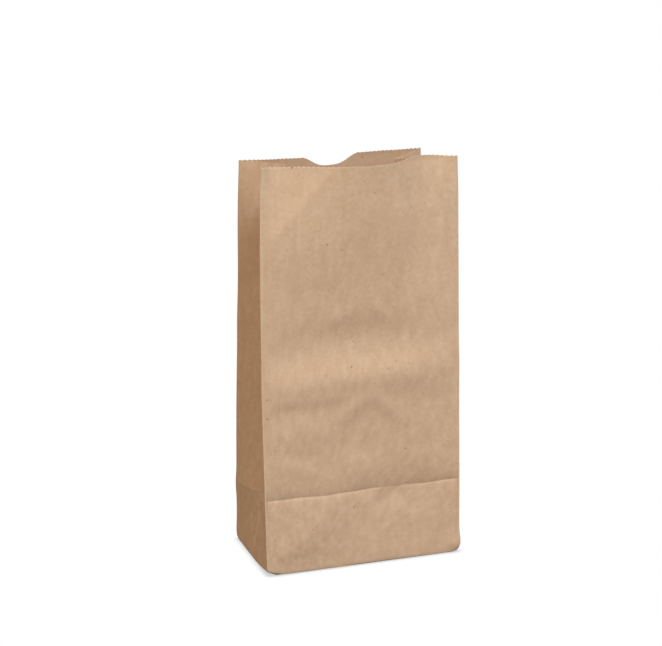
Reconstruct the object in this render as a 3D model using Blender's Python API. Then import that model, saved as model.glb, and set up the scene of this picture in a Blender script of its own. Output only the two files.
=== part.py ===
"""Open kraft paper bag with gusseted sides and a folded block bottom, standing on its own.

One sheet of paper makes the whole bag, so it is one closed solid. Seen from the front, +X is to the
right, +Y goes to the back and +Z is up. The origin is at the middle of the foot, on the floor.
"""

from math import cos, floor, pi, sqrt

import bmesh
import bpy
from mathutils import Vector

MM = 0.001

# The flat sizes of the bag and its paper
BAG_WIDTH = 127.0 * MM
BAG_DEPTH = 84.6 * MM
BAG_HEIGHT = 247.6 * MM
PAPER_THICKNESS = 0.11 * MM

# The cut at the mouth: pinking teeth all round, and a thumb notch in the back panel
TOOTH_PITCH = 2.9 * MM
TOOTH_DEPTH = 0.6 * MM
MOUTH_SLANT = 1.3 * MM
SIDE_LIP_SAG = 2.8 * MM
NOTCH_WIDTH = 37.0 * MM
NOTCH_DEPTH = 6.0 * MM
NOTCH_FLATNESS = 1.5

# The lapped seam that closes the tube, on the outside of the back panel
SEAM_LAP = 14.0 * MM
SEAM_OFFSET = 38.0 * MM
SEAM_EASE = 9.0 * MM

# The folded block bottom
BOTTOM_LAP = 20.0 * MM
FOLD_INSET = 0.5 * MM

# How the opened bag stands: each side folds inwards along its middle, most of all at the mouth
CREASE_PINCH = 10.0 * MM
MOUTH_PINCH = 31.1 * MM
FRONT_CREASE_DIP = 0.8 * MM

# How far each corner stands from its square place at the foot and at the mouth, as (right, back)
FOOT_SHIFTS = {
    "front_left": (-4.0 * MM, -1.2 * MM),
    "front_right": (-3.6 * MM, 2.6 * MM),
    "back_left": (0.7 * MM, -0.7 * MM),
    "back_right": (1.3 * MM, 2.1 * MM),
}
MOUTH_SHIFTS = {
    "front_left": (2.0 * MM, -2.1 * MM),
    "front_right": (2.5 * MM, -0.1 * MM),
    "back_left": (4.2 * MM, -3.8 * MM),
    "back_right": (0.3 * MM, 0.4 * MM),
}

# The soft waves of the lips: outwards and low where a panel bellies, inwards and high where it hollows
FRONT_BELLY = 6.0 * MM
FRONT_BELLY_SAG = 2.2 * MM
FRONT_HOLLOW = 3.0 * MM
FRONT_HOLLOW_RISE = 2.5 * MM
BACK_BELLY = 4.0 * MM
BACK_BELLY_SAG = 1.4 * MM
WAVE_REACH = 110.0 * MM

# How finely the sheet is divided. The same steps divide half a side and the height below the crease,
# so that the slanted folds of the sides run through corners of the grid
FOLD_STEPS = (0.0, 0.25, 0.5, 0.75, 0.9, 1.0)
TEETH_PER_CELL = 4
WALL_ROWS = 9
MOUTH_BAND = 12.0 * MM
NOTCH_STEPS = 20
SMALLEST_STEP = 0.25 * MM
FLOOR_HUB = 7.0 * MM

PAPER_COLOUR = (0.565, 0.390, 0.252, 1.0)
PAPER_ROUGHNESS = 0.82

# Places that follow from the sizes. The crease is half the depth up, where the bottom folds flat against
# the front
HALF_SIDE = BAG_DEPTH / 2
CREASE_HEIGHT = HALF_SIDE
FRONT_END = BAG_WIDTH
RIGHT_END = FRONT_END + BAG_DEPTH
BACK_END = RIGHT_END + BAG_WIDTH
GIRTH = BACK_END + BAG_DEPTH
NOTCH_MIDDLE = RIGHT_END + BAG_WIDTH / 2
SEAM_START = NOTCH_MIDDLE - SEAM_OFFSET - SEAM_LAP / 2
SEAM_END = SEAM_START + SEAM_LAP
FLAP_LENGTH = BAG_DEPTH / 2 + BOTTOM_LAP / 2
BASE_UNDERSIDE = 2 * PAPER_THICKNESS
BASE_TOP = BASE_UNDERSIDE + PAPER_THICKNESS
MOUTH_ROW = BAG_HEIGHT - MOUTH_BAND


def clear_scene():
    for thing in list(bpy.data.objects):
        bpy.data.objects.remove(thing)


# The shape of the opened sheet

def half_depth(height):
    """Half the bag's depth. Paper keeps its length, so a side that is pushed in is less deep."""
    at_crease = sqrt(HALF_SIDE**2 - CREASE_PINCH**2)
    at_mouth = sqrt(HALF_SIDE**2 - MOUTH_PINCH**2)
    if height < CREASE_HEIGHT:
        return HALF_SIDE - (HALF_SIDE - at_crease) * height / CREASE_HEIGHT
    rise = (height - CREASE_HEIGHT) / (BAG_HEIGHT - CREASE_HEIGHT)
    return at_crease + (at_mouth - at_crease) * rise


def side_section(along, height):
    """(inward push, distance towards the middle) at this paper distance from a side's nearer corner.
    Below the crease only the paper outside the slanted folds turns, and the rest stays upright."""
    run = half_depth(max(height, CREASE_HEIGHT)) / HALF_SIDE
    turned = min(along, height)
    return turned * sqrt(1.0 - run**2), turned * run + (along - turned)


def crease_dip(height):
    """The valley fold that crosses the front where the bottom lay folded against it."""
    reach = CREASE_HEIGHT * (FOLD_STEPS[-1] - FOLD_STEPS[-2])
    return FRONT_CREASE_DIP * max(0.0, 1.0 - abs(height - CREASE_HEIGHT) / reach)


def hill(share, middle, spread):
    """A smooth hill of height 1 round the middle, and 0 beyond the spread."""
    offset = min(1.0, abs(share - middle) / spread)
    return (1.0 + cos(pi * offset)) / 2


def front_lip(share):
    """(outward belly, sag) of the front's mouth edge, from its left corner (0) to its right corner (1)."""
    belly = hill(share, 0.52, 0.5)
    hollow = hill(share, 0.8, 0.2)
    out = FRONT_BELLY * belly - FRONT_HOLLOW * hollow
    return out, FRONT_BELLY_SAG * belly - FRONT_HOLLOW_RISE * hollow


def back_lip(share):
    """(outward belly, sag) of the back's mouth edge, from its right corner (0) to its left corner (1)."""
    belly = hill(share, 0.65, 0.35)
    return BACK_BELLY * belly, BACK_BELLY_SAG * belly


def wave_fade(height):
    """The lips' waves are full at the mouth and die out lower down."""
    return hill(BAG_HEIGHT, height, WAVE_REACH)


def blend_corners(shifts, across, back):
    """The shift at this share of the width from the left and of the depth from the front."""
    front = Vector(shifts["front_left"]).lerp(Vector(shifts["front_right"]), across)
    rear = Vector(shifts["back_left"]).lerp(Vector(shifts["back_right"]), across)
    return front.lerp(rear, back)


def stand(x, y, height):
    """Moves a point of the square bag to where it lies in the bag as it stands, a little out of square."""
    across = x / BAG_WIDTH + 0.5
    back = y / (2 * half_depth(height)) + 0.5
    foot = blend_corners(FOOT_SHIFTS, across, back)
    mouth = blend_corners(MOUTH_SHIFTS, across, back)
    shift = foot.lerp(mouth, height / BAG_HEIGHT)
    return Vector((x + shift.x, y + shift.y, height))


def place(around, height):
    """The sheet's outer face, at this distance round the girth and this height."""
    around %= GIRTH
    depth = half_depth(height)
    half_width = BAG_WIDTH / 2
    dip = crease_dip(height)
    if around <= FRONT_END:
        out = front_lip(around / BAG_WIDTH)[0] * wave_fade(height)
        return stand(around - half_width, -depth + dip - out, height)
    if RIGHT_END <= around <= BACK_END:
        out = back_lip((around - RIGHT_END) / BAG_WIDTH)[0] * wave_fade(height)
        return stand(half_width - (around - RIGHT_END), depth + out, height)
    on_right = around < RIGHT_END
    along = around - FRONT_END if on_right else GIRTH - around
    near_front = along <= HALF_SIDE
    push, inwards = side_section(min(along, BAG_DEPTH - along), height)
    x = half_width - push
    y = inwards - depth if near_front else depth - inwards
    if near_front:
        y += dip * (1.0 - along / HALF_SIDE)
    return stand(x if on_right else -x, y, height)


def outward(around, height):
    """The direction out of the sheet, long enough at a fold for an even thickness on both sides."""
    step = SMALLEST_STEP / 10
    before = place(around, height) - place(around - step, height)
    after = place(around + step, height) - place(around, height)
    first = Vector((before.y, -before.x, 0.0)).normalized()
    second = Vector((after.y, -after.x, 0.0)).normalized()
    return (first + second) / (1.0 + first.dot(second))


def seam_lift(around):
    """How far the outer face stands out where the sheet's edge laps over the other edge."""
    if not SEAM_START < around < SEAM_END + SEAM_EASE:
        return 0.0
    return PAPER_THICKNESS * min(1.0, (SEAM_END + SEAM_EASE - around) / SEAM_EASE)


def plies(around):
    return 2 if SEAM_START < around < SEAM_END else 1


def skin_point(around, height, inner):
    lift = seam_lift(around)
    if inner:
        lift -= plies(around) * PAPER_THICKNESS
    return place(around, height) + outward(around, height) * lift


# The cut edge at the mouth

def tooth_count(length):
    return max(2, round(length / TOOTH_PITCH))


def panel_of(around):
    """(start, length) of the panel or half side that this place on the girth belongs to."""
    middle_right = FRONT_END + HALF_SIDE
    middle_left = BACK_END + HALF_SIDE
    edges = (0.0, FRONT_END, middle_right, RIGHT_END, BACK_END, middle_left, GIRTH)
    for start, end in zip(edges, edges[1:]):
        if around < end:
            return start, end - start
    return edges[-2], GIRTH - edges[-2]


def cut_height(around):
    """Height of the mouth's edge: teeth, or the smooth thumb notch in the back panel."""
    lip_height = BAG_HEIGHT + MOUTH_SLANT * place(around, BAG_HEIGHT).x / BAG_WIDTH
    if around < FRONT_END:
        lip_height -= front_lip(around / BAG_WIDTH)[1]
    elif RIGHT_END < around < BACK_END:
        lip_height -= back_lip((around - RIGHT_END) / BAG_WIDTH)[1]
    else:
        along = around - FRONT_END if around < BACK_END else around - BACK_END
        lip_height -= SIDE_LIP_SAG * (1.0 - abs(along / HALF_SIDE - 1.0))
    from_middle = abs(around - NOTCH_MIDDLE) / (NOTCH_WIDTH / 2)
    if from_middle < 1.0:
        return lip_height - TOOTH_DEPTH - NOTCH_DEPTH * (1.0 + cos(pi * from_middle**NOTCH_FLATNESS)) / 2
    start, length = panel_of(around)
    tooth = (around - start) / length * tooth_count(length)
    return lip_height - TOOTH_DEPTH * abs(2 * (tooth - floor(tooth)) - 1)


def wall_stations():
    """Distances round the girth at which the sheet's grid has a column."""
    found = []
    for start in (0.0, RIGHT_END):
        cells = max(2, round(tooth_count(BAG_WIDTH) / TEETH_PER_CELL))
        found += [start + BAG_WIDTH * cell / cells for cell in range(cells)]
    for start in (FRONT_END, BACK_END):
        found += [start + HALF_SIDE * step for step in FOLD_STEPS]
        found += [start + BAG_DEPTH - HALF_SIDE * step for step in FOLD_STEPS[:-1]]
    half_step = PAPER_THICKNESS / 2
    seam = [SEAM_START - half_step, SEAM_START + half_step, SEAM_END - half_step, SEAM_END + half_step]
    seam.append(SEAM_END + SEAM_EASE)
    notch = [NOTCH_MIDDLE - NOTCH_WIDTH / 2, NOTCH_MIDDLE + NOTCH_WIDTH / 2]
    found = thin_out(found, keep=seam + notch)
    return found


def thin_out(places, keep):
    """The kept places with those of the others that lie clear of them, in order round the girth."""
    clear = sorted(keep)
    for place_here in sorted(places):
        here = place_here % GIRTH
        gaps = [abs((here - other + GIRTH / 2) % GIRTH - GIRTH / 2) for other in clear]
        if min(gaps) > SMALLEST_STEP:
            clear.append(here)
    return sorted(clear)


def cut_stations(columns):
    """The columns, and between them the tips and roots of the teeth and the notch's curve."""
    found = []
    for start, length in panels():
        teeth = tooth_count(length)
        for half_tooth in range(1, 2 * teeth):
            here = start + length * half_tooth / (2 * teeth)
            if abs(here - NOTCH_MIDDLE) > NOTCH_WIDTH / 2:
                found.append(here)
    notch_start = NOTCH_MIDDLE - NOTCH_WIDTH / 2
    found += [notch_start + NOTCH_WIDTH * step / NOTCH_STEPS for step in range(1, NOTCH_STEPS)]
    return thin_out(found, keep=columns)


def panels():
    """(start, length) of each panel and half side, in order round the girth."""
    found = []
    start = 0.0
    while start < GIRTH - SMALLEST_STEP:
        start, length = panel_of(start + SMALLEST_STEP)
        found.append((start, length))
        start += length
    return found


def row_heights():
    rows = [CREASE_HEIGHT * step for step in FOLD_STEPS]
    above = CREASE_HEIGHT * (2 * FOLD_STEPS[-1] - FOLD_STEPS[-2])
    rows += [above + (MOUTH_ROW - above) * row / WALL_ROWS for row in range(WALL_ROWS + 1)]
    return rows


# Building the mesh

def slants_back(around, top_height):
    """Whether a cell's diagonal runs up against the way round, so that it follows a slanted fold."""
    if top_height > CREASE_HEIGHT + SMALLEST_STEP:
        return False
    start, length = panel_of(around)
    second_halves = (FRONT_END + HALF_SIDE, BACK_END + HALF_SIDE)
    return any(abs(start - half) < SMALLEST_STEP for half in second_halves)


def add_skin(mesh, columns, cut, rows, inner):
    """One face of the sheet, with the floor of the bag. Returns the vertices along the cut edge."""
    grid = []
    for number, height in enumerate(rows):
        line = []
        for around in columns:
            point = skin_point(around, height, inner)
            if number == 0:
                point.z = BASE_TOP if inner else BASE_UNDERSIDE
            line.append(mesh.verts.new(point))
        grid.append(line)
    edge = [mesh.verts.new(skin_point(around, cut_height(around), inner)) for around in cut]

    def add_face(corners):
        mesh.faces.new(list(reversed(corners)) if inner else corners)

    count = len(columns)
    for lower, upper, top_height in zip(grid, grid[1:], rows[1:]):
        for here in range(count):
            after = (here + 1) % count
            a, b, c, d = lower[here], lower[after], upper[after], upper[here]
            middle = columns[here] + SMALLEST_STEP / 2
            if slants_back(middle, top_height):
                add_face([a, b, d])
                add_face([b, c, d])
            else:
                add_face([a, b, c])
                add_face([a, c, d])
    for here in range(count):
        after = (here + 1) % count
        a, b = grid[-1][here], grid[-1][after]
        first = cut.index(columns[here])
        last = cut.index(columns[after])
        if last <= first:
            last += len(cut)
        top = [edge[number % len(cut)] for number in range(first, last + 1)]
        turn = len(top) // 2
        for left, right in zip(top[:turn], top[1:turn + 1]):
            add_face([a, right, left])
        add_face([a, b, top[turn]])
        for left, right in zip(top[turn:], top[turn + 1:]):
            add_face([b, right, left])
    hub = mesh.verts.new(stand(0.0, FLOOR_HUB, 0.0))
    hub.co.z = BASE_TOP if inner else BASE_UNDERSIDE
    for here in range(count):
        add_face([grid[0][(here + 1) % count], grid[0][here], hub])
    return edge


def sheet_mesh():
    columns = wall_stations()
    cut = cut_stations(columns)
    rows = row_heights()
    mesh = bmesh.new()
    outer_edge = add_skin(mesh, columns, cut, rows, inner=False)
    inner_edge = add_skin(mesh, columns, cut, rows, inner=True)
    for here in range(len(cut)):
        after = (here + 1) % len(cut)
        mesh.faces.new([outer_edge[here], outer_edge[after], inner_edge[after], inner_edge[here]])
    data = bpy.data.meshes.new("paper_bag")
    mesh.to_mesh(data)
    mesh.free()
    return data


# The glued flaps of the block bottom

def flap_guide(name, outline, low, high):
    """A flat ply with this outline, hidden, for the bag to be joined with."""
    mesh = bmesh.new()
    face = mesh.faces.new([mesh.verts.new((x, y, low)) for x, y in outline])
    grown = bmesh.ops.extrude_face_region(mesh, geom=[face])
    risen = [part for part in grown["geom"] if isinstance(part, bmesh.types.BMVert)]
    bmesh.ops.translate(mesh, verts=risen, vec=(0.0, 0.0, high - low))
    bmesh.ops.recalc_face_normals(mesh, faces=mesh.faces[:])
    data = bpy.data.meshes.new(name)
    mesh.to_mesh(data)
    mesh.free()
    guide = bpy.data.objects.new(name, data)
    guide.hide_render = True
    guide.display_type = "WIRE"
    bpy.context.scene.collection.objects.link(guide)
    return guide


def long_flap_outline(side):
    """The front (-1) or back (1) flap: its corners are folded under at 45 degrees."""
    half = BAG_WIDTH / 2 - FOLD_INSET
    hinge = HALF_SIDE - FOLD_INSET
    reach = min(FLAP_LENGTH - FOLD_INSET, 2 * hinge)
    tip = hinge - reach
    points = [(-half, hinge), (half, hinge), (half - reach, tip), (-half + reach, tip)]
    return [stand(x, side * y, 0.0).xy for x, y in points]


def side_flap_outline(side):
    """The left (-1) or right (1) flap, which lies inside the bag, the full depth wide."""
    near = BAG_WIDTH / 2 - PAPER_THICKNESS - FOLD_INSET
    far = BAG_WIDTH / 2 - FLAP_LENGTH
    half = HALF_SIDE - PAPER_THICKNESS - FOLD_INSET
    points = [(near, -half), (near, half), (far, half), (far, -half)]
    return [stand(side * x, y, 0.0).xy for x, y in points]


def bottom_plies():
    """The back flap is glued over the front flap, and the two side flaps lie on the floor inside."""
    into_base = BASE_UNDERSIDE + PAPER_THICKNESS / 2
    guides = [
        flap_guide("back_flap", long_flap_outline(1), 0.0, into_base),
        flap_guide("front_flap", long_flap_outline(-1), PAPER_THICKNESS, into_base),
    ]
    for name, side in (("left_flap", -1), ("right_flap", 1)):
        top = BASE_TOP + PAPER_THICKNESS
        guides.append(flap_guide(name, side_flap_outline(side), into_base, top))
    return guides


def kraft_material():
    material = bpy.data.materials.new("kraft_paper")
    material.use_nodes = True
    shader = material.node_tree.nodes["Principled BSDF"]
    shader.inputs["Base Color"].default_value = PAPER_COLOUR
    shader.inputs["Roughness"].default_value = PAPER_ROUGHNESS
    shader.inputs["Metallic"].default_value = 0.0
    return material


def build_bag():
    data = sheet_mesh()
    data.materials.append(kraft_material())
    bag = bpy.data.objects.new("paper_bag", data)
    bpy.context.scene.collection.objects.link(bag)
    for guide in bottom_plies():
        join = bag.modifiers.new(guide.name, "BOOLEAN")
        join.operation = "UNION"
        join.solver = "EXACT"
        join.object = guide
    return bag


clear_scene()
build_bag()
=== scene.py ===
"""The looks of the kraft paper bag: one fine sheet with its folds, dents and cut edge, and the flaps of its
bottom, in place of the plain solid. Lengths are in millimetres here, and in metres once they are in
Blender."""

import bpy
import numpy as np
from mathutils import Matrix, Vector


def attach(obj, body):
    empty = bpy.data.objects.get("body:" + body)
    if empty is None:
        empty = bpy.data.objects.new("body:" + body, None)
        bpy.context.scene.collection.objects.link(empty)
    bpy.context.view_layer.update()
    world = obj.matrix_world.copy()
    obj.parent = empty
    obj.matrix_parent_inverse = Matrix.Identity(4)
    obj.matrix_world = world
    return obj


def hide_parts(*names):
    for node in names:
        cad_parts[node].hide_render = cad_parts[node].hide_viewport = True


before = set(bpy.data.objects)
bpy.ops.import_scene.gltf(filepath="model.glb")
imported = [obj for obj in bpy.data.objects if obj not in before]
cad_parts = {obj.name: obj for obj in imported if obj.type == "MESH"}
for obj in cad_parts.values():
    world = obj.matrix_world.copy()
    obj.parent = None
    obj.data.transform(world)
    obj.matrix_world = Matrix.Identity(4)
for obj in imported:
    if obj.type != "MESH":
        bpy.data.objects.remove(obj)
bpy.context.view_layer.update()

MM = 0.001

# The flat sizes of the bag and its paper, as in the solid
WIDTH = 127.0
DEPTH = 84.6
HEIGHT = 247.6
PAPER = 0.11

# The cut at the mouth: pinking teeth all round, and a thumb notch in the back panel
TOOTH_PITCH = 2.9
TOOTH_DEPTH = 0.6
MOUTH_SLANT = 1.3
SIDE_LIP_SAG = 2.8
NOTCH_WIDTH = 37.0
NOTCH_DEPTH = 6.0
NOTCH_FLATNESS = 1.5

# The lapped seam that closes the tube, and the lap of the two flaps under the foot
SEAM_LAP = 14.0
SEAM_OFFSET = 38.0
SEAM_EASE = 9.0
BOTTOM_LAP = 20.0

# How far each side is pushed in along its middle, at the crease and at the mouth
CREASE_PINCH = 10.0
MOUTH_PINCH = 31.1

# The soft waves of the lips: outwards and low where a panel bellies, inwards and high where it hollows.
# Their places are (middle, half length), as shares of the panel's width
FRONT_BELLY = 6.0
FRONT_BELLY_SAG = 2.2
FRONT_BELLY_PLACE = (0.52, 0.5)
FRONT_HOLLOW = 3.0
FRONT_HOLLOW_RISE = 2.5
FRONT_HOLLOW_PLACE = (0.8, 0.2)
BACK_BELLY = 4.0
BACK_BELLY_SAG = 1.4
BACK_BELLY_PLACE = (0.65, 0.35)
WAVE_REACH = 110.0

# How far each corner stands from its square place, as (right, back): front left, front right, back left
# and back right
FOOT_SHIFTS = ((-4.0, -1.2), (-3.6, 2.6), (0.7, -0.7), (1.3, 2.1))
MOUTH_SHIFTS = ((2.0, -2.1), (2.5, -0.1), (4.2, -3.8), (0.3, 0.4))

# The front left fold bows out halfway up
EDGE_BOW = 1.7

# Places that follow from the sizes, along the girth from the front left fold, or up from the foot. The
# crease is half the depth up, where the bottom folds flat against the front. The foot lies on the two
# flaps under it
HALF_SIDE = DEPTH / 2
CREASE = HALF_SIDE
RIGHT_START = WIDTH
BACK_START = RIGHT_START + DEPTH
LEFT_START = BACK_START + WIDTH
GIRTH = LEFT_START + DEPTH
NOTCH_MIDDLE = BACK_START + WIDTH / 2
SEAM_START = NOTCH_MIDDLE - SEAM_OFFSET - SEAM_LAP / 2
SEAM_END = SEAM_START + SEAM_LAP
FOOT_LEVEL = 2 * PAPER
FLAP_LENGTH = DEPTH / 2 + BOTTOM_LAP / 2
FOLDS = (0.0, RIGHT_START, RIGHT_START + HALF_SIDE, BACK_START, LEFT_START, LEFT_START + HALF_SIDE, GIRTH)

# How far the opened bag's crease runs off its level at each of those folds, and how far up and down it
# takes the sheet with it
CREASE_SHIFTS = (3.6, 4.0, 1.5, 0.0, -2.6, -1.8, 3.6)
CREASE_SHIFT_REACH = 30.0

# How the foot's corners are blunted and lifted off the floor: (place on the girth, lift, reach before it,
# reach after it)
FOOT_LIFTS = (
    (GIRTH, 2.9, 40.0, 15.0),
    (RIGHT_START, 2.0, 5.0, 9.0),
    (BACK_START, 1.6, 9.0, 9.0),
    (LEFT_START, 1.4, 8.0, 7.0),
)
LIFT_REACH_UP = 16.0
LIFT_REACH_UNDER = 6.0

# The folds are rounded by taking the mean of the square form within this reach, at this many places each
# way
FOLD_RADIUS = 0.9
FOLD_TAPS = 7

# How finely the sheet is drawn: its rows up the walls and under the foot, its columns at a fold, and the
# band below the lip that is stretched to end at the cut edge
FIRST_ROW = 0.7
ROW_STEP = 1.85
CREASE_GAP_BELOW = 2.0
CREASE_GAP_ABOVE = 3.0
LIP_GAP = 1.0
FOOT_RINGS = (0.0, 0.4, 0.8, 1.4, 2.5, 5.0)
FOLD_COLUMNS = (-1.5, -0.9, -0.45, 0.0, 0.45, 0.9, 1.5)
LIP_BAND = 24.0
TOOTH_ROOT_MARGIN = 0.6
SMALLEST_STEP = 0.3

# The direction out of the sheet is worked out over this distance to both sides
SLOPE_STEP = 0.05

# The flaps of the bottom: how far they stay inside the folds, their rows from the hinge on, and how far
# apart their columns are
FLAP_INSET = 1.2
FLAP_HINGE_ROWS = (0.9, 1.6, 3.0, 4.5)
FLAP_FLAT_START = 6.0
FLAP_FLAT_ROWS = 12
FLAP_COLUMN_STEP = 2.0


# The opened form, which the solid has too

def hill(place, middle, spread):
    """A smooth hump, 1 at its middle and 0 from its spread on."""
    offset = np.clip(np.abs(place - middle) / spread, 0.0, 1.0)
    return (1.0 + np.cos(np.pi * offset)) / 2


def half_depth(z):
    """Half the bag's depth. Paper keeps its length, so a side that is pushed in is less deep."""
    at_crease = np.sqrt(HALF_SIDE**2 - CREASE_PINCH**2)
    at_mouth = np.sqrt(HALF_SIDE**2 - MOUTH_PINCH**2)
    below = HALF_SIDE - (HALF_SIDE - at_crease) * z / CREASE
    rise = (z - CREASE) / (HEIGHT - CREASE)
    return np.where(z < CREASE, below, at_crease + (at_mouth - at_crease) * rise)


def front_lip(share):
    """How far the front lip stands out and how far it sags."""
    belly = hill(share, *FRONT_BELLY_PLACE)
    hollow = hill(share, *FRONT_HOLLOW_PLACE)
    return FRONT_BELLY * belly - FRONT_HOLLOW * hollow, FRONT_BELLY_SAG * belly - FRONT_HOLLOW_RISE * hollow


def back_lip(share):
    """How far the back lip stands out and how far it sags."""
    belly = hill(share, *BACK_BELLY_PLACE)
    return BACK_BELLY * belly, BACK_BELLY_SAG * belly


def blend_corners(shifts, across, back):
    """(right, back) shift at this share of the width from the left and of the depth from the front."""
    front_left, front_right, back_left, back_right = shifts
    result = []
    for axis in (0, 1):
        front = front_left[axis] + (front_right[axis] - front_left[axis]) * across
        rear = back_left[axis] + (back_right[axis] - back_left[axis]) * across
        result.append(front + (rear - front) * back)
    return result


def foot_lift(u):
    """How far the lower edge is off the floor near the foot's corners."""
    lift = np.zeros(np.shape(u))
    for corner, height, before, after in FOOT_LIFTS:
        gap = np.mod(u - corner + GIRTH / 2, GIRTH) - GIRTH / 2
        reach = np.where(gap < 0, before, after)
        lift = np.maximum(lift, height * np.clip(1.0 - np.abs(gap) / reach, 0.0, 1.0) ** 2)
    return lift


def panel_masks(u):
    """Which places on the girth are on the front, on the back and on a side."""
    front = u < RIGHT_START
    back = (u >= BACK_START) & (u < LEFT_START)
    return front, back, ~(front | back)


def square_form(u, z):
    """Outer face of the sheet before it is rounded and dented, at girth distance u and height z."""
    u = np.mod(u, GIRTH)
    z = np.maximum(z, 0.0)
    depth = half_depth(z)
    fade = hill(z, HEIGHT, WAVE_REACH)
    front, back = panel_masks(u)[:2]
    on_right = u < BACK_START
    along = np.where(on_right, u - RIGHT_START, GIRTH - u)
    near_front = along <= HALF_SIDE
    from_corner = np.minimum(along, DEPTH - along)

    # A side turns inwards from its corner on, but below the crease only as far as the slanted fold
    run = half_depth(np.maximum(z, CREASE)) / HALF_SIDE
    turned = np.minimum(from_corner, z)
    push = turned * np.sqrt(1.0 - run**2)
    inwards = turned * run + (from_corner - turned)
    side_x = np.where(on_right, 1.0, -1.0) * (WIDTH / 2 - push)
    side_y = np.where(near_front, inwards - depth, depth - inwards)

    front_y = -depth - front_lip(u / WIDTH)[0] * fade
    back_y = depth + back_lip((u - BACK_START) / WIDTH)[0] * fade
    x = np.where(front, u - WIDTH / 2, np.where(back, WIDTH / 2 - (u - BACK_START), side_x))
    y = np.where(front, front_y, np.where(back, back_y, side_y))

    # The corners of the opened bag stand off their square places, and the front left fold bows out
    across = x / WIDTH + 0.5
    back_share = y / (2 * depth) + 0.5
    foot = blend_corners(FOOT_SHIFTS, across, back_share)
    mouth = blend_corners(MOUTH_SHIFTS, across, back_share)
    rise = z / HEIGHT
    at_left_fold = np.clip(1.0 - across, 0.0, 1.0) * np.clip(1.0 - back_share, 0.0, 1.0)
    bow = EDGE_BOW * np.sin(np.pi * rise) * at_left_fold
    x = x + foot[0] * (1.0 - rise) + mouth[0] * rise - bow
    y = y + foot[1] * (1.0 - rise) + mouth[1] * rise
    return np.stack([x, y, z], axis=-1)


def folded_form(u, z):
    """The form with the sheet carried on under the foot, for negative z, and its folds rounded."""
    total = 0.0
    taps = np.linspace(-1.0, 1.0, FOLD_TAPS)
    for shift_u in taps:
        for shift_z in taps:
            here_z = z + shift_z * FOLD_RADIUS
            point = square_form(u + shift_u * FOLD_RADIUS, here_z)
            under = np.maximum(-here_z, 0.0)
            reach = np.hypot(point[..., 0], point[..., 1])
            shrink = 1.0 - under / np.maximum(reach, 1.0)
            point[..., 0] *= shrink
            point[..., 1] *= shrink
            total = total + point
    return total / len(taps) ** 2


# Dents, waves and creases of the paper, measured out of the sheet in millimetres

def soft_dent(u, z, dent):
    """A gentle hollow or rise: (along, up, half length, half width, slant in degrees, height)."""
    at_u, at_z, length, width, slant, height = dent
    du = np.mod(u - at_u + GIRTH / 2, GIRTH) - GIRTH / 2
    dz = z - at_z
    turn = np.radians(slant)
    lengthways = (du * np.cos(turn) + dz * np.sin(turn)) / length
    crossways = (-du * np.sin(turn) + dz * np.cos(turn)) / width
    return height * np.exp(-(lengthways**2 + crossways**2))


def sharp_crease(u, z, crease):
    """A fold line with flanks that ease out: (start along, start up, end along, end up, reach of the
    flanks, height)."""
    start_u, start_z, end_u, end_z, flank, height = crease
    run = np.hypot(end_u - start_u, end_z - start_z)
    along_u, along_z = (end_u - start_u) / run, (end_z - start_z) / run
    du, dz = u - start_u, z - start_z
    along = (du * along_u + dz * along_z) / run
    across = np.abs(-du * along_z + dz * along_u) / flank
    ends = np.clip(np.minimum(along, 1.0 - along) * run / CREASE_END_FADE, 0.0, 1.0)
    return height * np.exp(-across) * ends


# Long waves across the front, and its smaller dents: (along, up, half length, half width, slant, height)
FRONT_DENTS = [
    (64.0, 116.0, 110.0, 11.0, 3.0, 2.1),
    (60.0, 139.0, 80.0, 14.0, 3.0, -1.9),
    (20.0, 200.0, 30.0, 26.0, 0.0, 2.1),
    (68.0, 250.0, 20.0, 45.0, 0.0, 2.0),
    (67.0, 262.0, 20.0, 18.0, 0.0, 2.2),
    (14.0, 264.0, 26.0, 22.0, 0.0, -2.5),
    (124.0, 262.0, 18.0, 20.0, 0.0, -5.0),
    (108.0, 215.0, 24.0, 30.0, 0.0, 1.0),
    (88.0, 212.0, 45.0, 9.0, 90.0, 1.2),
    (112.0, 150.0, 22.0, 26.0, 0.0, 1.2),
    (31.0, 180.0, 8.0, 5.0, 0.0, 0.40),
    (76.0, 156.0, 12.0, 4.0, -40.0, 0.50),
    (52.0, 155.5, 14.0, 4.0, 30.0, 0.42),
    (56.0, 206.0, 14.0, 3.0, 48.0, 0.30),
    (58.0, 98.5, 15.0, 5.0, 34.0, 1.0),
    (78.0, 99.0, 11.0, 5.0, -38.0, 0.9),
    (66.0, 74.0, 26.0, 14.0, 0.0, -1.1),
    (24.0, 105.0, 34.0, 3.5, 0.0, 0.40),
    (22.0, 84.0, 22.0, 9.0, 0.0, 0.8),
    (118.0, 106.0, 12.0, 5.0, 0.0, 0.60),
    (29.0, 22.0, 28.0, 13.0, 36.0, 1.4),
    (82.0, 40.0, 28.0, 20.0, 0.0, -2.5),
    (84.0, 38.0, 9.0, 5.0, 0.0, -0.6),
]

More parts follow.
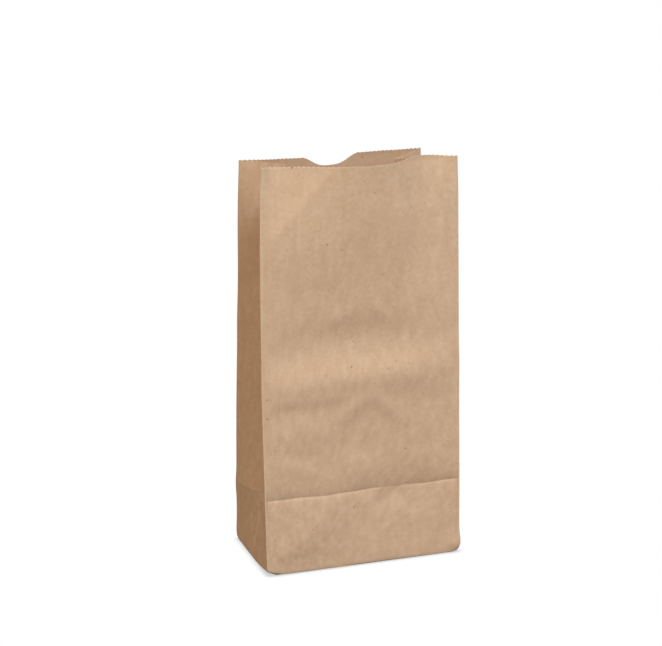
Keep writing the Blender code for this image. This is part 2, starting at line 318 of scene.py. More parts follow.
# The same for the back and the two sides
BACK_DENTS = [
    (BACK_START + 60.0, 168.0, 90.0, 15.0, 3.0, -1.9),
    (BACK_START + 66.0, 145.0, 100.0, 12.0, 2.0, 1.7),
    (BACK_START + 96.0, 96.0, 34.0, 8.0, -12.0, 0.9),
    (BACK_START + 34.0, 104.0, 30.0, 10.0, 14.0, -0.9),
    (BACK_START + 108.0, 214.0, 26.0, 22.0, 0.0, 1.8),
    (BACK_START + 18.0, 220.0, 24.0, 20.0, 0.0, 1.5),
    (BACK_START + 62.0, 76.0, 36.0, 12.0, 4.0, 0.7),
    (BACK_START + 30.0, 24.0, 24.0, 10.0, -8.0, 0.9),
    (BACK_START + 92.0, 20.0, 26.0, 11.0, 6.0, 0.8),
]
SIDE_DENTS = [
    (RIGHT_START + 62.0, 190.0, 14.0, 30.0, 0.0, 0.8),
    (RIGHT_START + 20.0, 150.0, 12.0, 26.0, 8.0, -0.7),
    (RIGHT_START + 64.0, 110.0, 14.0, 9.0, 10.0, 0.6),
    (RIGHT_START + 22.0, 84.0, 14.0, 8.0, -8.0, 0.6),
    (LEFT_START + 20.0, 260.0, 60.0, 30.0, 0.0, -4.2),
    (LEFT_START + 20.0, 120.0, 13.0, 10.0, 6.0, 0.5),
    (LEFT_START + 60.0, 150.0, 12.0, 24.0, 0.0, -0.6),
]

# Small fold lines of the front: (start along, start up, end along, end up, reach of the flanks, height).
# They fade out over this length at their ends
CREASE_END_FADE = 5.0
FRONT_CREASES = [
    (15.0, 210.0, 47.0, 246.0, 4.0, 0.45),
    (40.0, 198.0, 52.0, 213.0, 2.0, 0.22),
    (60.0, 30.0, 80.0, 45.0, 1.6, 0.35),
    (66.0, 26.0, 90.0, 44.0, 1.4, -0.25),
    (6.0, 8.0, 44.0, 35.0, 4.0, 0.40),
    (72.0, 37.0, 84.0, 46.0, 1.5, -0.30),
    (88.0, 45.0, 104.0, 26.0, 1.8, 0.25),
    (96.0, 46.0, 110.0, 36.0, 1.5, -0.20),
    (52.0, 30.0, 61.0, 23.0, 1.2, 0.20),
]

# The crease half the depth up, which goes all round: (start, end, reach below it, reach above it, reach in
# which it fades out at the folds, height)
ROUND_CREASES = [
    (0.0, RIGHT_START, 20.0, 8.0, 1.6, -1.6),
    (0.0, RIGHT_START, 1.2, 3.0, 1.6, -0.40),
    (0.0, RIGHT_START, 0.5, 0.5, 1.6, -0.10),
    (RIGHT_START, BACK_START, 3.0, 2.0, 1.6, 0.55),
    (BACK_START, LEFT_START, 6.0, 2.4, 1.6, -0.40),
    (LEFT_START, GIRTH, 26.0, 30.0, 9.0, 3.4),
    (LEFT_START, GIRTH, 6.0, 2.2, 1.6, 0.45),
]

# The crease wavers up and down in a long and a short wave, and is soft where the bottom was pulled open
CREASE_WAVER = 0.3
CREASE_LONG_WAVE = 9.0
CREASE_SHORT_WAVE = 3.7
CREASE_BREAK = 82.0
CREASE_BREAK_REACH = 24.0
CREASE_BREAK_SHARE = 0.65

# The front's upper left corner leans back beyond a slanting line, which starts this high up the left fold
CORNER_LEAN = 0.21
CORNER_LEAN_REACH = 10.0
CORNER_LEAN_HEIGHT = 196.0
CORNER_LEAN_SLANT = np.radians(47.0)

# The folded paper makes the corners stand out at the foot, and the left one at the back also at the
# crease and above it. They are given as the dents are
CORNER_BULGES = [
    (RIGHT_START, 6.0, 7.0, 6.0, 0.0, 1.0),
    (BACK_START, 6.0, 7.0, 6.0, 0.0, 0.8),
    (LEFT_START, 6.0, 7.0, 6.0, 0.0, 0.35),
    (LEFT_START, 39.0, 10.0, 8.0, 0.0, 0.5),
    (LEFT_START, 80.0, 10.0, 45.0, 0.0, 0.45),
]

# The flat bottom holds the sheet straight, so the dents fade out this far above the foot
DENT_FOOT_FADE = 12.0
BULGE_FOOT_FADE = 3.0

# Near an upright fold the sheet is held straight too, and the fold itself stands out as a low bead
FOLD_HOLD = 0.85
FOLD_HOLD_REACH = 7.0
FOLD_BEAD = 0.12
FOLD_BEAD_REACH = 1.3

# The single ply is pressed in beside the edge of the seam's lap
SEAM_PRESS = 0.14
SEAM_PRESS_REACH = 1.0

# How much the crease is rubbed and how strong the painted highlight along the seam's edge is, where an
# upright
# # fold is 1, and how far from their lines
CREASE_WEAR = 0.3
SEAM_HIGHLIGHT = 0.6
WEAR_REACH = 0.6

# The front's lip curls out a little, and the back's curls in
LIP_CURL = 0.15
BACK_LIP_CURL = -0.30
LIP_CURL_REACH = 1.5

# The saw's teeth aren't all alike: they are sharper at the front's left end. The front lip has a nick.
TOOTH_UNEVENNESS = 0.3
TOOTH_UNEVENNESS_PACE = 1.9
TOOTH_SHARE_LEFT = 1.3
TOOTH_SHARE_RIGHT = 0.6
TOOTH_SHARE_ELSEWHERE = 0.8
NICK_PLACE = 20.7
NICK_DEPTH = 1.9
NICK_REACH = 0.9

# Faint dents of handling: how many there are, the range of their half lengths, and as shares of that the
# range of their half widths and the spread of their heights
HANDLING_SEED = 11
HANDLING_COUNT = 170
HANDLING_LENGTHS = (6.0, 24.0)
HANDLING_WIDTHS = (0.25, 0.7)
HANDLING_HEIGHT = 0.013


def random_dents():
    """The dents of handling all over the sheet, always the same ones."""
    draw = np.random.default_rng(HANDLING_SEED)
    dents = []
    for _ in range(HANDLING_COUNT):
        length = draw.uniform(*HANDLING_LENGTHS)
        dents.append((
            draw.uniform(0.0, GIRTH),
            draw.uniform(0.0, HEIGHT),
            length,
            length * draw.uniform(*HANDLING_WIDTHS),
            draw.uniform(-90.0, 90.0),
            draw.normal(0.0, HANDLING_HEIGHT) * length,
        ))
    return dents


HANDLING_DENTS = random_dents()


def corner_lean(u, z):
    """The front's upper left corner leans back beyond a slanting line."""
    beyond = (z - CORNER_LEAN_HEIGHT) * np.cos(CORNER_LEAN_SLANT) - u * np.sin(CORNER_LEAN_SLANT)
    eased = CORNER_LEAN_REACH * (1.0 - np.exp(-np.maximum(beyond, 0.0) / CORNER_LEAN_REACH))
    return np.where(u < RIGHT_START, -CORNER_LEAN * eased, 0.0)


def fold_gap(u):
    """Distance along the sheet to the nearest upright fold."""
    u = np.mod(u, GIRTH)
    return np.min([np.abs(u - fold) for fold in FOLDS], axis=0)


def crease_line(u):
    """The crease isn't quite straight."""
    waves = np.sin(u / CREASE_LONG_WAVE) + np.sin(u / CREASE_SHORT_WAVE + 1.0) / 2
    return CREASE + CREASE_WAVER * waves


def crease_strength(u):
    """The crease is soft where the bottom was pulled open."""
    return 1.0 - CREASE_BREAK_SHARE * hill(u, CREASE_BREAK, CREASE_BREAK_REACH)


def relief(u, z):
    """How far all the dents, creases and beads together stand out."""
    u = np.mod(u, GIRTH)
    height = np.zeros(np.shape(u))
    for dent in FRONT_DENTS + BACK_DENTS + SIDE_DENTS + HANDLING_DENTS:
        height += soft_dent(u, z, dent)
    for crease in FRONT_CREASES:
        height += sharp_crease(u, z, crease)
    height += corner_lean(u, z)
    height *= 1.0 - FOLD_HOLD * np.exp(-(fold_gap(u) / FOLD_HOLD_REACH) ** 2)
    height += FOLD_BEAD * np.exp(-fold_gap(u) / FOLD_BEAD_REACH)
    from_crease = z - crease_line(u)
    for start, end, below, above, fading, depth in ROUND_CREASES:
        inside = (u >= start) & (u < end)
        reach = np.where(from_crease > 0.0, above, below)
        off_fold = 1.0 - np.exp(-(fold_gap(u) / fading) ** 2)
        strength = depth * crease_strength(u) * off_fold
        height += np.where(inside, strength * np.exp(-np.abs(from_crease) / reach), 0.0)
    height *= np.clip(z / DENT_FOOT_FADE, 0.0, 1.0)
    for bulge in CORNER_BULGES:
        height += soft_dent(u, z, bulge) * np.clip(z / BULGE_FOOT_FADE, 0.0, 1.0)
    return height


def seam_lift(u):
    """The lap's edge, pressed in beside it, and the slope down to a single ply."""
    ramp = np.clip((SEAM_END + SEAM_EASE - u) / SEAM_EASE, 0.0, 1.0)
    pressed = SEAM_PRESS * np.exp(-np.abs(u - SEAM_START) / SEAM_PRESS_REACH)
    return PAPER * np.where(u > SEAM_START, ramp, 0.0) - np.where(u < SEAM_START, pressed, 0.0)


def lifted_form(u, z):
    """The folded form with its crease and its foot's corners at their own heights."""
    point = folded_form(u, z)
    girth_place = np.mod(u, GIRTH)
    point[..., 2] += np.interp(girth_place, FOLDS, CREASE_SHIFTS) * hill(z, CREASE, CREASE_SHIFT_REACH)
    above = np.clip(1.0 - np.maximum(z, 0.0) / LIFT_REACH_UP, 0.0, 1.0) ** 2
    under = np.clip(1.0 + np.minimum(z, 0.0) / LIFT_REACH_UNDER, 0.0, 1.0)
    point[..., 2] += foot_lift(girth_place) * above * under
    return point


def outer_face(u, z):
    """Points of the outer face and the directions out of it."""
    around = lifted_form(u + SLOPE_STEP, z) - lifted_form(u - SLOPE_STEP, z)
    upwards = lifted_form(u, z + SLOPE_STEP) - lifted_form(u, z - SLOPE_STEP)
    out = np.cross(around, upwards)
    out /= np.maximum(np.linalg.norm(out, axis=-1, keepdims=True), 1e-9)
    height = relief(u, z) + seam_lift(np.mod(u, GIRTH))
    front, back = panel_masks(np.mod(u, GIRTH))[:2]
    curl = np.where(front, LIP_CURL, np.where(back, BACK_LIP_CURL, 0.0))
    height += curl * np.exp((z - HEIGHT) / LIP_CURL_REACH)
    return lifted_form(u, z) + out * height[..., None], out


# The cut edge and the grid

def panels():
    """The stretches of the girth between two upright folds, as (start, end)."""
    return list(zip(FOLDS, FOLDS[1:]))


def tooth_phase(u):
    """0 at the tips of the teeth and 1 at their roots."""
    phase = np.zeros(len(u))
    for start, end in panels():
        inside = (u >= start) & (u < end)
        teeth = round((end - start) / TOOTH_PITCH)
        share = (u - start) / (end - start) * teeth
        phase = np.where(inside, np.abs(2 * (share - np.floor(share)) - 1), phase)
    return phase


def lip_heights(u):
    """(smooth edge just below the teeth, cut edge) for each place on the girth."""
    front, back, side = panel_masks(u)
    sag = np.where(front, front_lip(u / WIDTH)[1], 0.0)
    sag = np.where(back, back_lip((u - BACK_START) / WIDTH)[1], sag)
    along = np.where(u < BACK_START, u - RIGHT_START, u - LEFT_START)
    sag = np.where(side, SIDE_LIP_SAG * (1.0 - np.abs(along / HALF_SIDE - 1.0)), sag)
    sag -= MOUTH_SLANT * square_form(u, np.full(len(u), HEIGHT))[:, 0] / WIDTH
    from_middle = np.abs(u - NOTCH_MIDDLE) / (NOTCH_WIDTH / 2)
    dip = NOTCH_DEPTH * (1.0 + np.cos(np.pi * np.clip(from_middle, 0.0, 1.0) ** NOTCH_FLATNESS)) / 2
    nick = NICK_DEPTH * np.clip(1.0 - np.abs(u - NICK_PLACE) / NICK_REACH, 0.0, 1.0)
    root = HEIGHT - sag - TOOTH_DEPTH - dip - nick
    across_front = TOOTH_SHARE_LEFT + (TOOTH_SHARE_RIGHT - TOOTH_SHARE_LEFT) * u / WIDTH
    unevenness = 1.0 + TOOTH_UNEVENNESS * np.sin(TOOTH_UNEVENNESS_PACE * u)
    sharpness = np.where(front, across_front, TOOTH_SHARE_ELSEWHERE) * unevenness
    tip = np.where(from_middle < 1.0, 0.0, TOOTH_DEPTH * sharpness * (1.0 - tooth_phase(u)))
    return root, root + tip


def column_places():
    """Places of the columns: two to each tooth, and closer ones at the folds, the seam and the nick."""
    fixed = []
    for fold in FOLDS[:-1]:
        fixed += [(fold + offset) % GIRTH for offset in FOLD_COLUMNS]
    fixed += [SEAM_START - PAPER / 2, SEAM_START + PAPER / 2, SEAM_END]
    fixed += [NICK_PLACE - NICK_REACH, NICK_PLACE, NICK_PLACE + NICK_REACH]
    spare = []
    for start, end in panels():
        teeth = round((end - start) / TOOTH_PITCH)
        spare += [start + (end - start) * number / (2 * teeth) for number in range(2 * teeth)]
    kept = sorted(fixed)
    for place in spare:
        gaps = np.abs(np.mod(np.array(kept) - place + GIRTH / 2, GIRTH) - GIRTH / 2)
        if gaps.min() > SMALLEST_STEP:
            kept.append(place)
    return np.array(sorted(kept))


def row_places():
    """Heights of the rows. A ring under the foot is as far below 0 as the sheet goes on under there."""
    rows = [-ring for ring in FOOT_RINGS[::-1]]
    rows += list(np.arange(FIRST_ROW, CREASE - CREASE_GAP_BELOW, ROW_STEP))
    rows += [CREASE + offset for offset in FOLD_COLUMNS]
    rows += list(np.arange(CREASE + CREASE_GAP_ABOVE, HEIGHT - LIP_GAP, ROW_STEP))
    return np.array(rows)


def bag_grid():
    """(u, z) of every vertex, rows from under the foot up to the cut edge."""
    columns = column_places()
    rows = row_places()
    u, z = np.meshgrid(columns, rows)
    root, cut = lip_heights(columns)
    band_start = HEIGHT - LIP_BAND
    top = rows[-1]
    share = np.clip((z - band_start) / (top - band_start), 0.0, 1.0)
    stretched = band_start + share * (root - TOOTH_ROOT_MARGIN - band_start)
    z = np.where(z > band_start, stretched, z)
    u = np.vstack([u, columns])
    z = np.vstack([z, cut])
    return u, z


def add_piece(name, points, faces, material, smooth=True):
    """Makes a mesh from points in millimetres."""
    mesh = bpy.data.meshes.new(name)
    mesh.from_pydata(np.asarray(points) * MM, [], faces)
    mesh.validate()
    mesh.materials.append(material)
    if smooth:
        mesh.shade_smooth()
    piece = bpy.data.objects.new(name, mesh)
    bpy.context.scene.collection.objects.link(piece)
    return piece


def strip_faces(lower, upper, flip):
    """Quads between two rings of vertices."""
    faces = []
    count = len(lower)
    for here in range(count):
        after = (here + 1) % count
        quad = [lower[here], lower[after], upper[after], upper[here]]
        faces.append(quad[::-1] if flip else quad)
    return faces


def sheet_faces(number, middles):
    """The outer and the inner face, the rim between them, and the fans that close the middle of the foot.
    It takes the vertices' numbers, as an array over the two faces, the rows and the columns, and those of
    the middles of the two fans."""
    faces = []
    for row in range(number.shape[1] - 1):
        faces += strip_faces(number[0, row], number[0, row + 1], False)
        faces += strip_faces(number[1, row], number[1, row + 1], True)
    faces += strip_faces(number[0, -1], number[1, -1], False)
    for side, middle in enumerate(middles):
        ring = number[side, 0]
        for here, after in zip(ring, np.roll(ring, -1)):
            triangle = [after, here, middle]
            faces.append(triangle[::-1] if side else triangle)
    return [[int(corner) for corner in corners] for corners in faces]


def build_sheet(material):
    """The whole bag but for its flaps. Each point also gets what the paper's finish needs to know."""
    u, z = bag_grid()
    face, out = outer_face(u, z)
    plies = np.where((u > SEAM_START) & (u < SEAM_END), 2.0, 1.0)
    inner = face - out * (plies * PAPER)[..., None]
    points = np.vstack([face.reshape(-1, 3), inner.reshape(-1, 3)])
    points[:, 2] += FOOT_LEVEL
    number = np.arange(len(points)).reshape(2, *u.shape)
    middles = [len(points), len(points) + 1]
    points = np.vstack([points, (0.0, 0.0, FOOT_LEVEL), (0.0, 0.0, FOOT_LEVEL + PAPER)])
    piece = add_piece("bag_sheet", points, sheet_faces(number, middles), material)
    keep_rim_crisp(piece.data, number[:, -1])

    # Each list below ends with its values for the two middles
    sheet_u = np.concatenate([u.ravel(), u.ravel(), [0.0, 0.0]])
    sheet_z = np.concatenate([z.ravel(), z.ravel(), [0.0, 0.0]])
    add_sheet_map(piece, sheet_u, sheet_z)
    # The front's cut edge gets a painted highlight, drawn with the same paler tint as the rubbed folds
    front_rim_highlight = np.zeros(number.shape)
    front_rim_highlight[:, -1] = panel_masks(u[-1])[0]
    front_rim_highlight = np.append(front_rim_highlight, [0.0, 0.0])
    add_point_values(piece, "wear_and_highlight", np.maximum(wear_and_highlight(sheet_u, sheet_z), front_rim_highlight))
    # The inner face is marked for painted shade, a darker tint inside the bag
    inside = np.repeat([0.0, 1.0], u.size)
    add_point_values(piece, "painted_inner_shade", np.append(inside, [0.0, 1.0]))
    return piece


def add_point_values(piece, name, values):
    """Gives each point a number, which the paper's finish reads by this name."""
    attribute = piece.data.attributes.new(name, "FLOAT", "POINT")
    attribute.data.foreach_set("value", values)


def keep_rim_crisp(mesh, rims):
    """Marks the cut edge's two rings as sharp, so that the thin rim doesn't tint the faces beside it."""
    ends = np.zeros(2 * len(mesh.edges), dtype=int)
    mesh.edges.foreach_get("vertices", ends)
    ends = ends.reshape(-1, 2)
    sharp = np.zeros(len(mesh.edges), dtype=bool)
    for rim in rims:
        sharp |= np.isin(ends, rim).all(axis=1)
    marks = mesh.attributes.new("sharp_edge", "BOOLEAN", "EDGE")
    marks.data.foreach_set("value", sharp)


def build_flap(name, material, start, length, inwards, mitre, level):
    """A flap of the folded bottom. It is hinged on the foot of the panel that starts there and is that
    long, and lies flat at its level, with slanted ends where mitre is 1."""
    flat_rows = np.linspace(FLAP_FLAT_START, FLAP_LENGTH, FLAP_FLAT_ROWS)
    runs = np.concatenate([FLAP_HINGE_ROWS, flat_rows])
    shares = np.linspace(0.0, 1.0, round(length / FLAP_COLUMN_STEP))
    share, run = np.meshgrid(shares, runs)
    inset = mitre * run + FLAP_INSET
    u = start + inset + share * (length - 2 * inset)
    place = square_form(u, np.zeros(u.shape))[..., :2] + np.array(inwards) * run[..., None]
    rise = foot_lift(np.mod(u, GIRTH)) * np.clip(1.0 - run / LIFT_REACH_UNDER, 0.0, 1.0)
    rows, columns = u.shape
    count = rows * columns
    points = []
    for side_level in (level, level + PAPER):
        points.append(np.dstack([place, rise + side_level]).reshape(-1, 3))
    faces = []
    for row in range(rows - 1):
        for column in range(columns - 1):
            first = row * columns + column
            quad = [first, first + 1, first + 1 + columns, first + columns]
            faces.append(quad[::-1])
            faces.append([corner + count for corner in quad])
    border = list(range(columns))
    border += [row * columns + columns - 1 for row in range(1, rows)]
    border += [(rows - 1) * columns + column for column in range(columns - 2, -1, -1)]
    border += [row * columns for row in range(rows - 2, 0, -1)]
    for here, after in zip(border, border[1:] + border[:1]):
        faces.append([here, after, after + count, here + count])
    piece = add_piece(name, np.vstack(points), faces, material, smooth=False)
    add_sheet_map(piece, np.tile(u.ravel(), 2), np.tile(-run.ravel(), 2))
    return piece


def build_bottom(material):
    """The back flap over the front flap underneath, and the two side flaps on the floor inside."""
    inside = FOOT_LEVEL + PAPER
    return [
        build_flap("back_flap", material, BACK_START, WIDTH, (0.0, -1.0), 1.0, 0.0),
        build_flap("front_flap", material, 0.0, WIDTH, (0.0, 1.0), 1.0, PAPER),
        build_flap("right_flap", material, RIGHT_START, DEPTH, (-1.0, 0.0), 0.0, inside),
        build_flap("left_flap", material, LEFT_START, DEPTH, (1.0, 0.0), 0.0, inside),
    ]


def wear_and_highlight(u, z):
    """How much the paper is rubbed along the folds, the crease and the foot, and the painted highlight
    along the seam's edge, from 0 to 1.
    """
    at_folds = np.exp(-np.minimum(fold_gap(u), np.abs(z)) / WEAR_REACH)
    at_crease = CREASE_WEAR * np.exp(-np.abs(z - CREASE) / WEAR_REACH)
    # The seam's edge gets a painted highlight
    at_seam = SEAM_HIGHLIGHT * np.exp(-np.abs(u - SEAM_START) / WEAR_REACH)
    return np.maximum(np.maximum(at_folds, at_crease), at_seam)


def add_sheet_map(piece, u, z):
    """Keeps each point's place on the flat sheet, in metres, as a UV map. It is unbroken where the girth
    closes."""
    mesh = piece.data
    layer = mesh.uv_layers.new(name="flat_sheet")
    corners = np.zeros(len(mesh.loops), dtype=int)
    mesh.loops.foreach_get("vertex_index", corners)
    starts = np.zeros(len(mesh.polygons), dtype=int)
    totals = np.zeros(len(mesh.polygons), dtype=int)
    mesh.polygons.foreach_get("loop_start", starts)
    mesh.polygons.foreach_get("loop_total", totals)
    corner_u = u[corners]
    highest = np.maximum.reduceat(corner_u, starts)
    highest = np.repeat(highest, totals)
    corner_u = np.where(highest - corner_u > GIRTH / 2, corner_u + GIRTH, corner_u)
    layer.uv.foreach_set("vector", np.stack([corner_u, z[corners]], axis=-1).ravel() * MM)


# Kraft paper

def linear(hex_colour):
    """An sRGB hex colour as linear light, with full alpha."""
    shares = [int(hex_colour[start:start + 2], 16) / 255 for start in (1, 3, 5)]
    return tuple(s / 12.92 if s <= 0.04045 else ((s + 0.055) / 1.055) ** 2.4 for s in shares) + (1.0,)


def add_node(tree, kind, settings=None, links=None):
    """Adds a node. Settings name its properties or sockets, links give a socket's source."""
    node = tree.nodes.new(kind)
    for name, value in (settings or {}).items():
        if isinstance(name, str) and hasattr(node, name):
            setattr(node, name, value)
        else:
            node.inputs[name].default_value = value
    for name, source in (links or {}).items():
        tree.links.new(source, node.inputs[name])
    return node


# The Mix node's sockets for colours, which share their names with its sockets for numbers
MIX_FIRST = 6
MIX_SECOND = 7
MIX_RESULT = 2

# The sizes of the paper's patterns, across and along the paper machine's run
CLOUD_SIZE = (9.0, 12.0)
STREAK_SIZE = (0.7, 9.0)
GRAIN_SIZE = (0.8, 1.3)
GRAIN_HEIGHT = 0.06

# Mottle of two sizes: (width, lowest and highest of the noise that it shows in)
MOTTLE = ((2.2, 0.52, 0.78), (4.5, 0.52, 0.76))
MOTTLE_LENGTH = 1.3

# Bark and bleached fibres, drawn as coarse as they need to show: (width, threshold, colour, slant,
# strength). Each is this many times as long as it is wide
FIBRE_LENGTH = 2.2
FIBRES = (
    (1.0, 0.66, "#8d6a4a", 35.0, 0.62),
    (1.3, 0.67, "#e6d0b6", -50.0, 0.28),
    (1.5, 0.69, "#76543a", 80.0, 0.62),
)

# The darkest flecks of bark on the front: (along, up, radius)
FLECKS = (
    (3.3, 97.0, 0.8),
    (3.5, 108.5, 0.7),
    (56.5, 123.8, 0.8),
    (57.1, 33.3, 0.7),
    (91.2, 69.5, 0.7),
    (41.0, 199.6, 0.7),
)


def kraft_paper():
    """Unbleached kraft from a paper machine: matt, with cloudy formation, faint streaks along its run,
    painted shade on the inner face, and specks of bark and bleached fibre."""
    material = bpy.data.materials.new("kraft_paper")
    material.use_nodes = True
    tree = material.node_tree
    shader = tree.nodes["Principled BSDF"]
    shader.inputs["Roughness"].default_value = 0.85
    shader.inputs["Specular IOR Level"].default_value = 0.2
    sheet = add_node(tree, "ShaderNodeUVMap", {"uv_map": "flat_sheet"}).outputs["UV"]

    def on_sheet(across, up, turn=0.0, place=(0.0, 0.0)):
        """The sheet's coordinates from this place, in units this many millimetres across and high."""
        settings = {
            "vector_type": "TEXTURE",
            "Location": (place[0] * MM, place[1] * MM, 0.0),
            "Rotation": (0.0, 0.0, np.radians(turn)),
            "Scale": (across * MM, up * MM, 1.0),
        }
        return add_node(tree, "ShaderNodeMapping", settings, {"Vector": sheet}).outputs[0]

    def noise(coordinates, detail, roughness=0.5):
        settings = {"Scale": 1.0, "Detail": detail, "Roughness": roughness}
        return add_node(tree, "ShaderNodeTexNoise", settings, {"Vector": coordinates}).outputs["Fac"]

    def marked(name):
        """The number that each point of a piece has under this name."""
        return add_node(tree, "ShaderNodeAttribute", {"attribute_name": name}).outputs["Fac"]

    def tinted(colour, tint, mask, low, high, strength):
        """The colour with a tint laid over it where the mask rises from low to high."""
        span = {"From Min": low, "From Max": high, "To Max": strength}
        share = add_node(tree, "ShaderNodeMapRange", span, {"Value": mask}).outputs[0]
        settings = {"data_type": "RGBA", MIX_SECOND: linear(tint)}
        laid = add_node(tree, "ShaderNodeMix", settings, {"Factor": share, MIX_FIRST: colour})
        return laid.outputs[MIX_RESULT]

    base = add_node(tree, "ShaderNodeRGB")
    base.outputs[0].default_value = linear("#c3a184")

    # Cloudy formation, where the pulp lies thicker or thinner, and streaks along the machine's run
    clouds = noise(on_sheet(*CLOUD_SIZE), detail=5.0, roughness=0.62)
    colour = tinted(base.outputs[0], "#b08d6c", clouds, 0.48, 0.78, 0.26)
    colour = tinted(colour, "#d6b99c", clouds, 0.50, 0.22, 0.26)
    streaks = noise(on_sheet(*STREAK_SIZE), detail=3.0, roughness=0.6)
    colour = tinted(colour, "#a98462", streaks, 0.5, 0.8, 0.10)

    # Mottle, darker and paler than the sheet
    for size, low, high in MOTTLE:
        mottle = noise(on_sheet(size, size * MOTTLE_LENGTH), detail=2.0)
        colour = tinted(colour, "#a68160", mottle, low, high, 0.15)
        colour = tinted(colour, "#dcc3a8", mottle, 1.0 - low, 1.0 - high, 0.15)

    # Fibres that lie in three directions, and single flecks of bark
    for size, lowest, tint, turn, strength in FIBRES:
        fibres = noise(on_sheet(size, size * FIBRE_LENGTH, turn), detail=2.0)
        colour = tinted(colour, tint, fibres, lowest, lowest + 0.1, strength)
    for along, up, radius in FLECKS:
        spot = {"Vector": on_sheet(radius, radius, place=(along, up))}
        fleck = add_node(tree, "ShaderNodeTexGradient", {"gradient_type": "SPHERICAL"}, spot)
        colour = tinted(colour, "#4f331d", fleck.outputs["Fac"], 0.0, 0.5, 0.5)

    # The inner face is tinted darker as painted shade inside the bag
    colour = tinted(colour, "#8f6a48", marked("painted_inner_shade"), 0.0, 1.0, 0.15)
    # Rubbed folds and the crease are paler, and the front's cut edge and the seam's edge get a painted
    # highlight
    colour = tinted(colour, "#e0c7ab", marked("wear_and_highlight"), 0.1, 1.0, 0.5)
    tree.links.new(colour, shader.inputs["Base Color"])

    # The tooth of an uncoated sheet, drawn coarser than it is so that it shows
    grain = noise(on_sheet(*GRAIN_SIZE), detail=4.0, roughness=0.6)
    depth = {"Strength": 0.35, "Distance": GRAIN_HEIGHT * MM}
    bump = add_node(tree, "ShaderNodeBump", depth, {"Height": grain})
    tree.links.new(bump.outputs[0], shader.inputs["Normal"])
    return material


paper = kraft_paper()
bag = build_sheet(paper)
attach(bag, "root")
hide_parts("paper_bag")
for flap in build_bottom(paper):
    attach(flap, "root")


# The studio

# The floor lies just under the foot. The contact shadow on it has this reach and this darkest shade
FLOOR_HALF = 4000.0
FLOOR_LEVEL = -0.05
CONTACT_REACH = 4.0
CONTACT_SHADE = 0.62

LIGHT_TARGET = (0.0, 0.0, 120.0)

# The photograph's camera, fitted to the bag's corners: its frame's width and its focal length in pixels,
# its azimuth, pitch and roll in degrees, and its distance from the bag's axis at this height. That point
# lies this far to the right of the middle of the picture and above it
PHOTO_WIDTH = 662
FOCAL_PIXELS = 1869.0
CAMERA_TURN = (-18.28, 10.65, -1.2)
CAMERA_DISTANCE = 1172.0
AXIS_HEIGHT = 123.825
AXIS_TO_THE_RIGHT = 8.5
AXIS_ABOVE = -20.1
SENSOR_WIDTH = 36.0


def white_floor():
    """Grey board that the camera sees as pure white, with only the contact shadow left in it."""
    material = bpy.data.materials.new("white_board")
    material.use_nodes = True
    tree = material.node_tree
    tree.nodes.clear()
    board = add_node(tree, "ShaderNodeBsdfDiffuse", {"Color": linear("#706454")})
    gap = add_node(tree, "ShaderNodeAmbientOcclusion", {"samples": 16, "Distance": CONTACT_REACH * MM})
    fading = {"From Min": 0.35, "From Max": 0.95, "To Min": CONTACT_SHADE}
    shade = add_node(tree, "ShaderNodeMapRange", fading, {"Value": gap.outputs["AO"]})
    seen = add_node(tree, "ShaderNodeEmission", {}, {"Strength": shade.outputs[0]})
    path = add_node(tree, "ShaderNodeLightPath")
    shaders = {0: path.outputs["Is Camera Ray"], 1: board.outputs[0], 2: seen.outputs[0]}
    both = add_node(tree, "ShaderNodeMixShader", {}, shaders)
    add_node(tree, "ShaderNodeOutputMaterial", {}, {"Surface": both.outputs[0]})
    return material


def add_floor():
    sides = ((-1, -1), (1, -1), (1, 1), (-1, 1))
    corners = [(right * FLOOR_HALF, back * FLOOR_HALF, FLOOR_LEVEL) for right, back in sides]
    floor = add_piece("floor", corners, [[0, 1, 2, 3]], white_floor(), smooth=False)


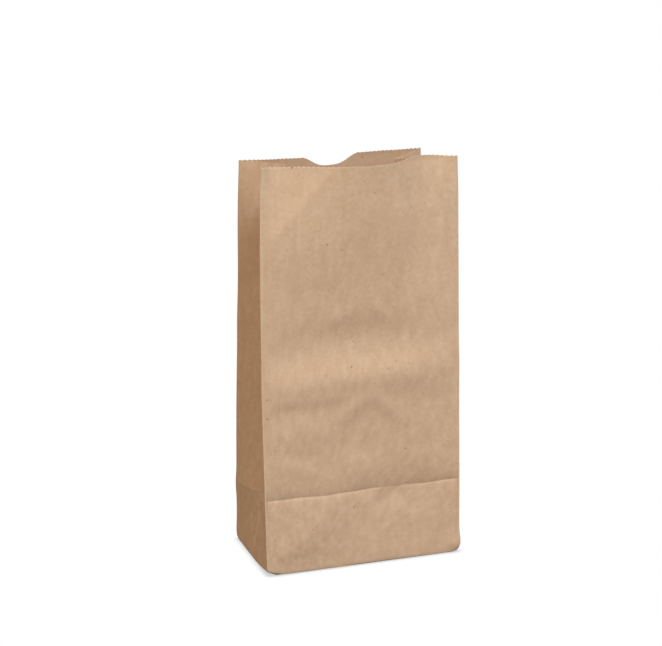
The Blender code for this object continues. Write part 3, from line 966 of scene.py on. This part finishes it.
def white_world():
    """A warm, dim room that the camera, gloss and glass see as plain white."""
    world = bpy.data.worlds.new("white_studio")
    bpy.context.scene.world = world
    world.use_nodes = True
    tree = world.node_tree
    tree.nodes.clear()
    path = add_node(tree, "ShaderNodeLightPath").outputs
    seen = path["Is Camera Ray"]
    for ray in ("Is Glossy Ray", "Is Transmission Ray"):
        either = {0: seen, 1: path[ray]}
        seen = add_node(tree, "ShaderNodeMath", {"operation": "MAXIMUM"}, either).outputs[0]
    room = add_node(tree, "ShaderNodeBackground", {"Color": linear("#ffe6c8"), "Strength": 0.36})
    white = add_node(tree, "ShaderNodeBackground", {"Color": (1.0, 1.0, 1.0, 1.0), "Strength": 1.0})
    mixed = add_node(tree, "ShaderNodeMixShader", {}, {0: seen, 1: room.outputs[0], 2: white.outputs[0]})
    add_node(tree, "ShaderNodeOutputWorld", {}, {"Surface": mixed.outputs[0]})


def add_light(name, place, size, power, colour="#ffffff"):
    """A square lamp that faces the bag, with its side in millimetres and its power in watts."""
    data = bpy.data.lights.new(name, "AREA")
    data.shape = "SQUARE"
    data.size = size * MM
    data.energy = power
    data.color = linear(colour)[:3]
    light = bpy.data.objects.new(name, data)
    light.location = Vector(place) * MM
    aim = Vector(LIGHT_TARGET) - Vector(place)
    light.rotation_euler = aim.to_track_quat("-Z", "Y").to_euler()
    bpy.context.scene.collection.objects.link(light)


def add_camera():
    azimuth, pitch, roll = np.radians(CAMERA_TURN)
    right = Vector((np.cos(azimuth), np.sin(azimuth), 0.0))
    back = Vector((np.sin(azimuth) * np.cos(pitch), -np.cos(azimuth) * np.cos(pitch), np.sin(pitch)))
    up = back.cross(right)
    place = Vector((0.0, 0.0, AXIS_HEIGHT)) + back * CAMERA_DISTANCE
    place -= right * AXIS_TO_THE_RIGHT + up * AXIS_ABOVE
    rolled_right = right * np.cos(roll) + up * np.sin(roll)
    rolled_up = up * np.cos(roll) - right * np.sin(roll)
    data = bpy.data.cameras.new("photo_camera")
    data.sensor_fit = "HORIZONTAL"
    data.sensor_width = SENSOR_WIDTH
    data.lens = FOCAL_PIXELS / PHOTO_WIDTH * SENSOR_WIDTH
    data.clip_start = 0.01
    data.clip_end = 50.0
    camera = bpy.data.objects.new("photo_camera", data)
    turn = Matrix((rolled_right, rolled_up, back)).transposed()
    camera.matrix_world = Matrix.Translation(place * MM) @ turn.to_4x4()
    bpy.context.scene.collection.objects.link(camera)
    bpy.context.scene.camera = camera


add_floor()
white_world()
add_light("key", (995.0, -2134.0, 2736.0), 960.0, 141.0, "#e2f3ff")
add_light("side_fill", (-2300.0, -1300.0, 1200.0), 1200.0, 28.0, "#fff8ec")
add_light("back_fill", (500.0, 2200.0, 1900.0), 900.0, 62.0)
add_camera()
bpy.context.scene.view_settings.view_transform = "Standard"
